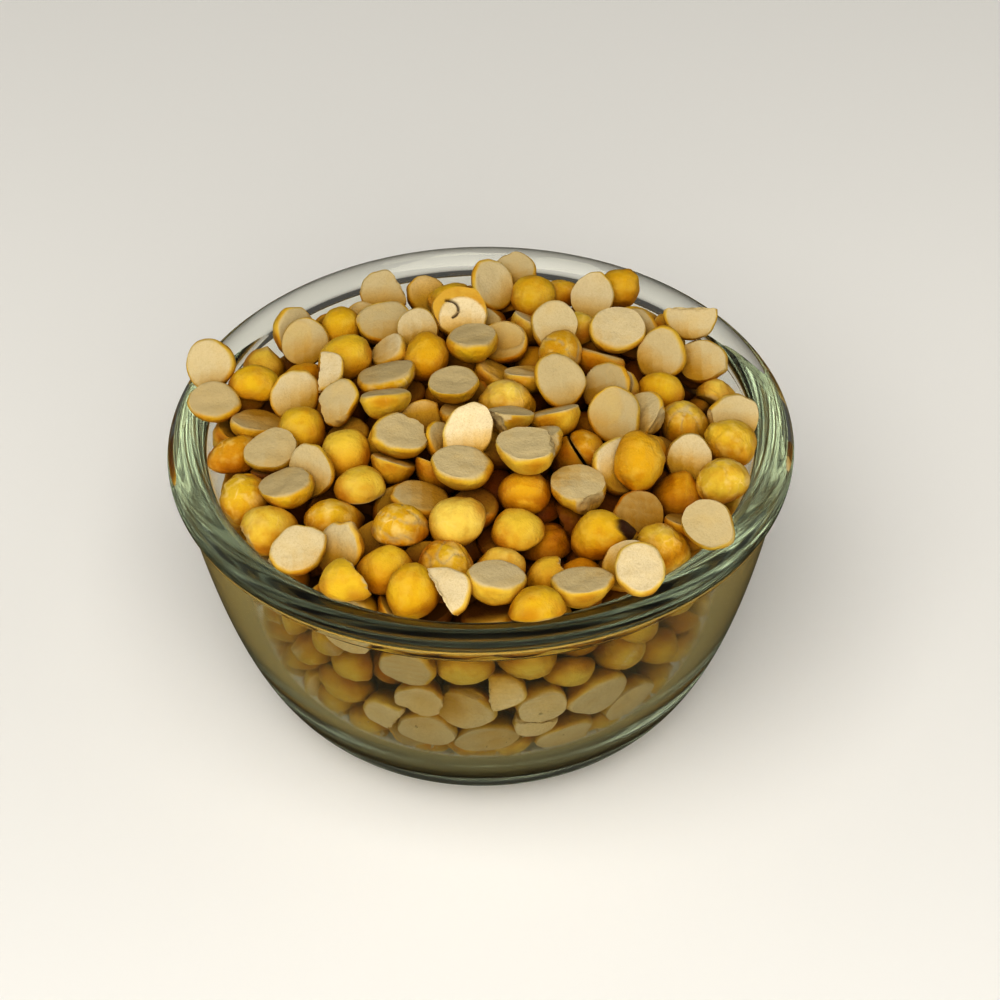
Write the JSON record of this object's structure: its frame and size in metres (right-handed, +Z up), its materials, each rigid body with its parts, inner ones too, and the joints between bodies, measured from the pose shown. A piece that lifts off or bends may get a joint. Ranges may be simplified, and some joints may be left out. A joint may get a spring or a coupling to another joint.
{
  "type": "dish of roasted gram",
  "caption": "Small thick clear glass bowl with a rounded rim, standing on a flat foot and heaped over its edge with split roasted gram.",
  "frame": {"origin": "middle of the bowl's foot, on the surface that it stands on", "axes": "+Z up along the bowl's axis, +X to the right and +Y away from the viewer as pictured"},
  "size_m": [0.092, 0.092, 0.0544],
  "materials": {
    "glass": "clear, smooth, faint green tint",
    "roasted_gram": "matte roasted seed, golden dome and pale flat face"
  },
  "bodies": {
    "root": {"bowl": "glass", "gram_heap": "roasted_gram"}
  },
  "joints": []
}
